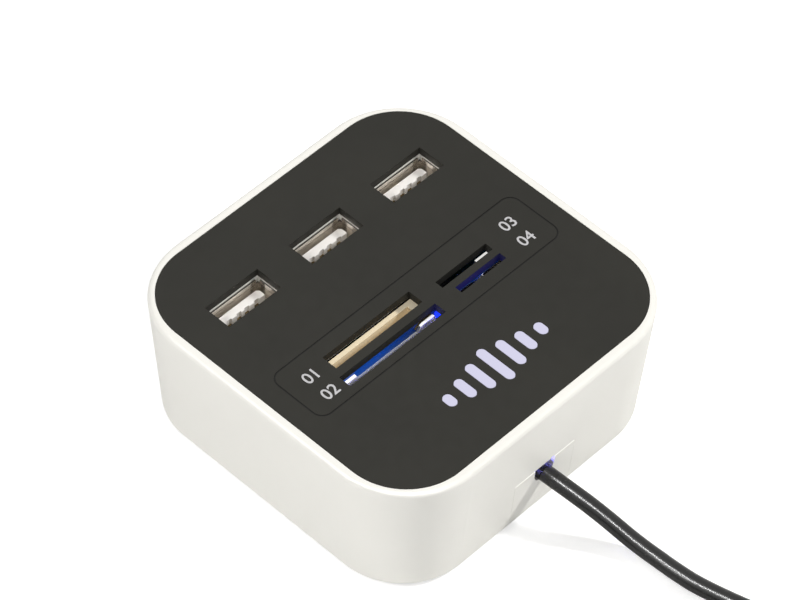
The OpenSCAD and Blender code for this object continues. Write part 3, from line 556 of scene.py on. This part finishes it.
def cream_plastic():
    mat = plastic("cream_plastic", (0.9, 0.77, 0.53), 0.45, grain=4)
    # Painted highlight on the top of the rear socket, and a faint painted glow over all of this
    # plastic
    light_between(
        mat, REAR_TOP - SLIVER, REAR_TOP + SLIVER, colour=(1.0, 0.88, 0.66), strength=0.22, rest=0.08,
    )
    return mat


def white_plastic():
    mat = plastic("white_plastic", (0.88, 0.88, 0.85), 0.4, grain=4)
    # Painted highlight: the white plastic shines between the rear and front socket tops, where the
    # slots let light fall
    light_between(
        mat, REAR_TOP - SLIVER, FRONT_TOP + SLIVER, colour=(1.0, 0.99, 0.95), strength=0.75,
    )
    return mat


def cable_jacket():
    mat = principled("cable_jacket", (0.006, 0.0058, 0.005), 0.27, specular=0.45)
    vary_roughness(mat, noise(mat, scale=0.3, detail=2), low=0.26, high=0.28)
    return mat


def make_materials():
    """The material of each slot, and those of the printed numerals and the tie."""
    return {
        "housing_plastic": housing_plastic("housing_plastic"),
        "cover_plastic": cover_plastic(),
        "plate_plastic": plate_plastic(),
        "window_plastic": glowing("window_plastic", (0.16, 0.16, 0.2), WINDOW_LIGHT, 0.66),
        "foot_rubber": plastic("foot_rubber", (0.03, 0.03, 0.033), 0.8, grain=4, grain_depth=0.03),
        "screw_steel": metal("screw_steel", (0.55, 0.55, 0.57), 0.35),
        "main_board": board("main_board", (0.015, 0.11, 0.045), 0.3),
        "card_board": card_board(),
        "chip_plastic": plastic("chip_plastic", (0.02, 0.02, 0.022), 0.6, grain_depth=0.02),
        "can_steel": metal("can_steel", (0.6, 0.6, 0.62), 0.3),
        "capacitor_sleeve": plastic("capacitor_sleeve", (0.02, 0.024, 0.04), 0.25),
        "led_white": glowing("led_white", (0.7, 0.72, 0.9), (0.8, 0.82, 1.0), 2.0),
        "led_blue": glowing("led_blue", (0.01, 0.03, 0.8), (0.013, 0.045, 1.0), 1.1),
        "socket_steel": socket_steel(),
        "tongue_plastic": plastic("tongue_plastic", (0.86, 0.84, 0.82), 0.4, grain=4),
        # Painted shade: the contacts' brass is darker than bare brass, for the shade they lie in
        "contact_brass": metal("contact_brass", (0.2, 0.15, 0.075), 0.35),
        "cream_plastic": cream_plastic(),
        "white_plastic": white_plastic(),
        "black_plastic": plastic("black_plastic", (0.015, 0.015, 0.018), 0.4, grain=4),
        "cable_jacket": cable_jacket(),
        "wire_jackets": plastic("wire_jackets", (0.3, 0.05, 0.04), 0.4),
        "plug_steel": metal("plug_steel", (0.5, 0.5, 0.51), 0.25, brush=(12, 1, 1)),
        "print_ink": plastic("print_ink", (0.5, 0.495, 0.51), 0.6, grain=8, variation=0.06),
        "tie_strip": plastic("tie_strip", (0.02, 0.02, 0.022), 0.6, grain=4, grain_depth=0.03),
    }


def dress_cad_nodes(materials):
    for part in frame["record"]["subparts"]:
        dress(frame["nodes"][part["node"]], materials[part["material_slot"]])
    # Long wall faces keep one flat shade beside the small faces round the cable's exit
    for name in ("housing", "bottom_cover"):
        even = frame["nodes"][name].modifiers.new("even_shade", "WEIGHTED_NORMAL")
        even.keep_sharp = True


# Plain numerals printed beside the card slots, with the middle of each
NUMERALS = {"01": (-25.75, -2.08), "02": (-25.9, -7.05), "03": (26.15, -2.0), "04": (25.9, -6.85)}
NUMERAL_H = 2.5
# Height of a numeral as a share of the type's size
NUMERAL_SHARE = 0.7
INK_T = 0.01
INK_SPREAD = 0.035


def make_numeral(text, at, ink):
    data = bpy.data.curves.new(f"numeral_{text}", "FONT")
    data.body = text
    data.align_x = "CENTER"
    data.align_y = "CENTER"
    data.size = NUMERAL_H / NUMERAL_SHARE * MM
    data.extrude = INK_T / 2 * MM
    data.offset = INK_SPREAD * MM
    piece = add_object(f"numeral_{text}", data)
    piece.location = metres((*at, PLATE_TOP + INK_T / 2))
    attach(piece, "root")
    dress(piece, ink)


# Studio, with its places and sizes in metres
FLOOR_SIZE = 6
FLOOR_COLOUR = (0.78, 0.78, 0.78)
# Light of its own that the floor shows to the camera, over its lit colour
FLOOR_LIFT = 0.52
WORLD_STRENGTH = 0.3
LAMP_AIM = Vector((0, 0, 0.015))


def make_world():
    """Dim light from all round, which looks white where it is seen directly or in a reflection."""
    world = bpy.data.worlds.new("studio")
    bpy.context.scene.world = world
    world.use_nodes = True
    tree = world.node_tree
    light = tree.nodes["Background"]
    feed_by_name(tree, light, {"Color": WHITE, "Strength": WORLD_STRENGTH})
    white = add_node(tree, "ShaderNodeBackground", Color=WHITE, Strength=1.0)
    seen = seen_by(tree, ("Is Camera Ray", "Is Glossy Ray", "Is Transmission Ray"))
    mix = add_node(tree, "ShaderNodeMixShader", seen, light.outputs[0], white.outputs[0])
    tree.links.new(mix.outputs[0], tree.nodes["World Output"].inputs["Surface"])


def make_floor():
    bm = bmesh.new()
    bmesh.ops.create_grid(bm, x_segments=1, y_segments=1, size=FLOOR_SIZE / 2)
    floor = add_mesh("floor", bm)
    mat = principled("floor", FLOOR_COLOUR, 0.9, specular=0.0)
    tree = mat.node_tree
    seen = seen_by(tree, ("Is Camera Ray", "Is Transmission Ray"))
    strength = add_math(tree, "MULTIPLY", seen, FLOOR_LIFT)
    lift = add_node(tree, "ShaderNodeEmission", Color=WHITE, Strength=strength)
    both = add_node(tree, "ShaderNodeAddShader", shader_of(mat).outputs[0], lift.outputs[0])
    tree.links.new(both.outputs[0], tree.nodes["Material Output"].inputs["Surface"])
    no_lamp(mat)
    dress(floor, mat)


def disc_lamp(name, at, size, watts, colour, glossy=False):
    """Round lamp that faces the object, and shows in its shiny surfaces only if asked."""
    data = bpy.data.lights.new(name, "AREA")
    data.shape = "DISK"
    data.size = size
    data.energy = watts
    data.color = colour
    lamp = add_object(name, data)
    lamp.location = at
    lamp.rotation_mode = "QUATERNION"
    lamp.rotation_quaternion = (LAMP_AIM - Vector(at)).to_track_quat("-Z", "Y")
    lamp.visible_glossy = glossy


def strip_lamp(name, start, end, aim, width, watts):
    """Long narrow lamp between two points, facing aim, which only shiny surfaces catch."""
    start, end = Vector(start), Vector(end)
    middle = (start + end) / 2
    along = (end - start).normalized()
    back = middle - Vector(aim)
    back = (back - back.dot(along) * along).normalized()
    data = bpy.data.lights.new(name, "AREA")
    data.shape = "RECTANGLE"
    data.size = width
    data.size_y = (end - start).length
    data.energy = watts
    lamp = add_object(name, data)
    lamp.matrix_world = Matrix.Translation(middle) @ turned(along.cross(back), along, back)
    lamp.visible_diffuse = False


def small_lamp(name, at, radius, watts, colour):
    """Unseen lamp inside the object, with its place and radius in millimetres."""
    data = bpy.data.lights.new(name, "POINT")
    data.energy = watts
    data.color = colour
    data.shadow_soft_size = radius * MM
    lamp = add_object(name, data)
    lamp.location = metres(at)
    lamp.visible_camera = False
    lamp.visible_glossy = False


def make_lamps():
    disc_lamp("key", at=(0.75, -0.55, 0.85), size=0.14, watts=10.0, colour=(1.0, 0.99, 0.97))
    disc_lamp(
        "side", at=(-0.85, 0.45, 0.85), size=0.3, watts=7.0, colour=(1.0, 0.99, 0.975), glossy=True,
    )
    disc_lamp("front", at=(-0.7, -0.9, 0.35), size=0.8, watts=2.9, colour=(1.0, 0.995, 0.985))
    disc_lamp("top", at=(0, 0.1, 1.4), size=0.9, watts=0.9, colour=(1.0, 0.995, 0.98))
    # The line of light along the cable
    strip_lamp(
        "streak", start=(-0.52, 0.46, 0.99), end=(-0.18, -1.08, 0.59), aim=(0, -0.05, 0.01),
        width=0.035, watts=32,
    )
    small_lamp(
        "short_slot_glow", at=(14, -6.6, 25.8), radius=0.4, watts=0.0003, colour=(0.05, 0.04, 1.0),
    )
    small_lamp("exit_glow", at=(1.5, -32, 13.2), radius=0.8, watts=0.013, colour=(0.2, 0.19, 1.0))


make_camera()
cable, cable_length = make_cable()
tie = make_tie()
materials = make_materials()
dress_cad_nodes(materials)
dress(cable, materials["cable_jacket"])
dress(tie, materials["tie_strip"])
for text, at in NUMERALS.items():
    make_numeral(text, at, materials["print_ink"])
make_world()
make_floor()
make_lamps()
bpy.context.scene.view_settings.view_transform = "Standard"

bpy.context.view_layer.update()
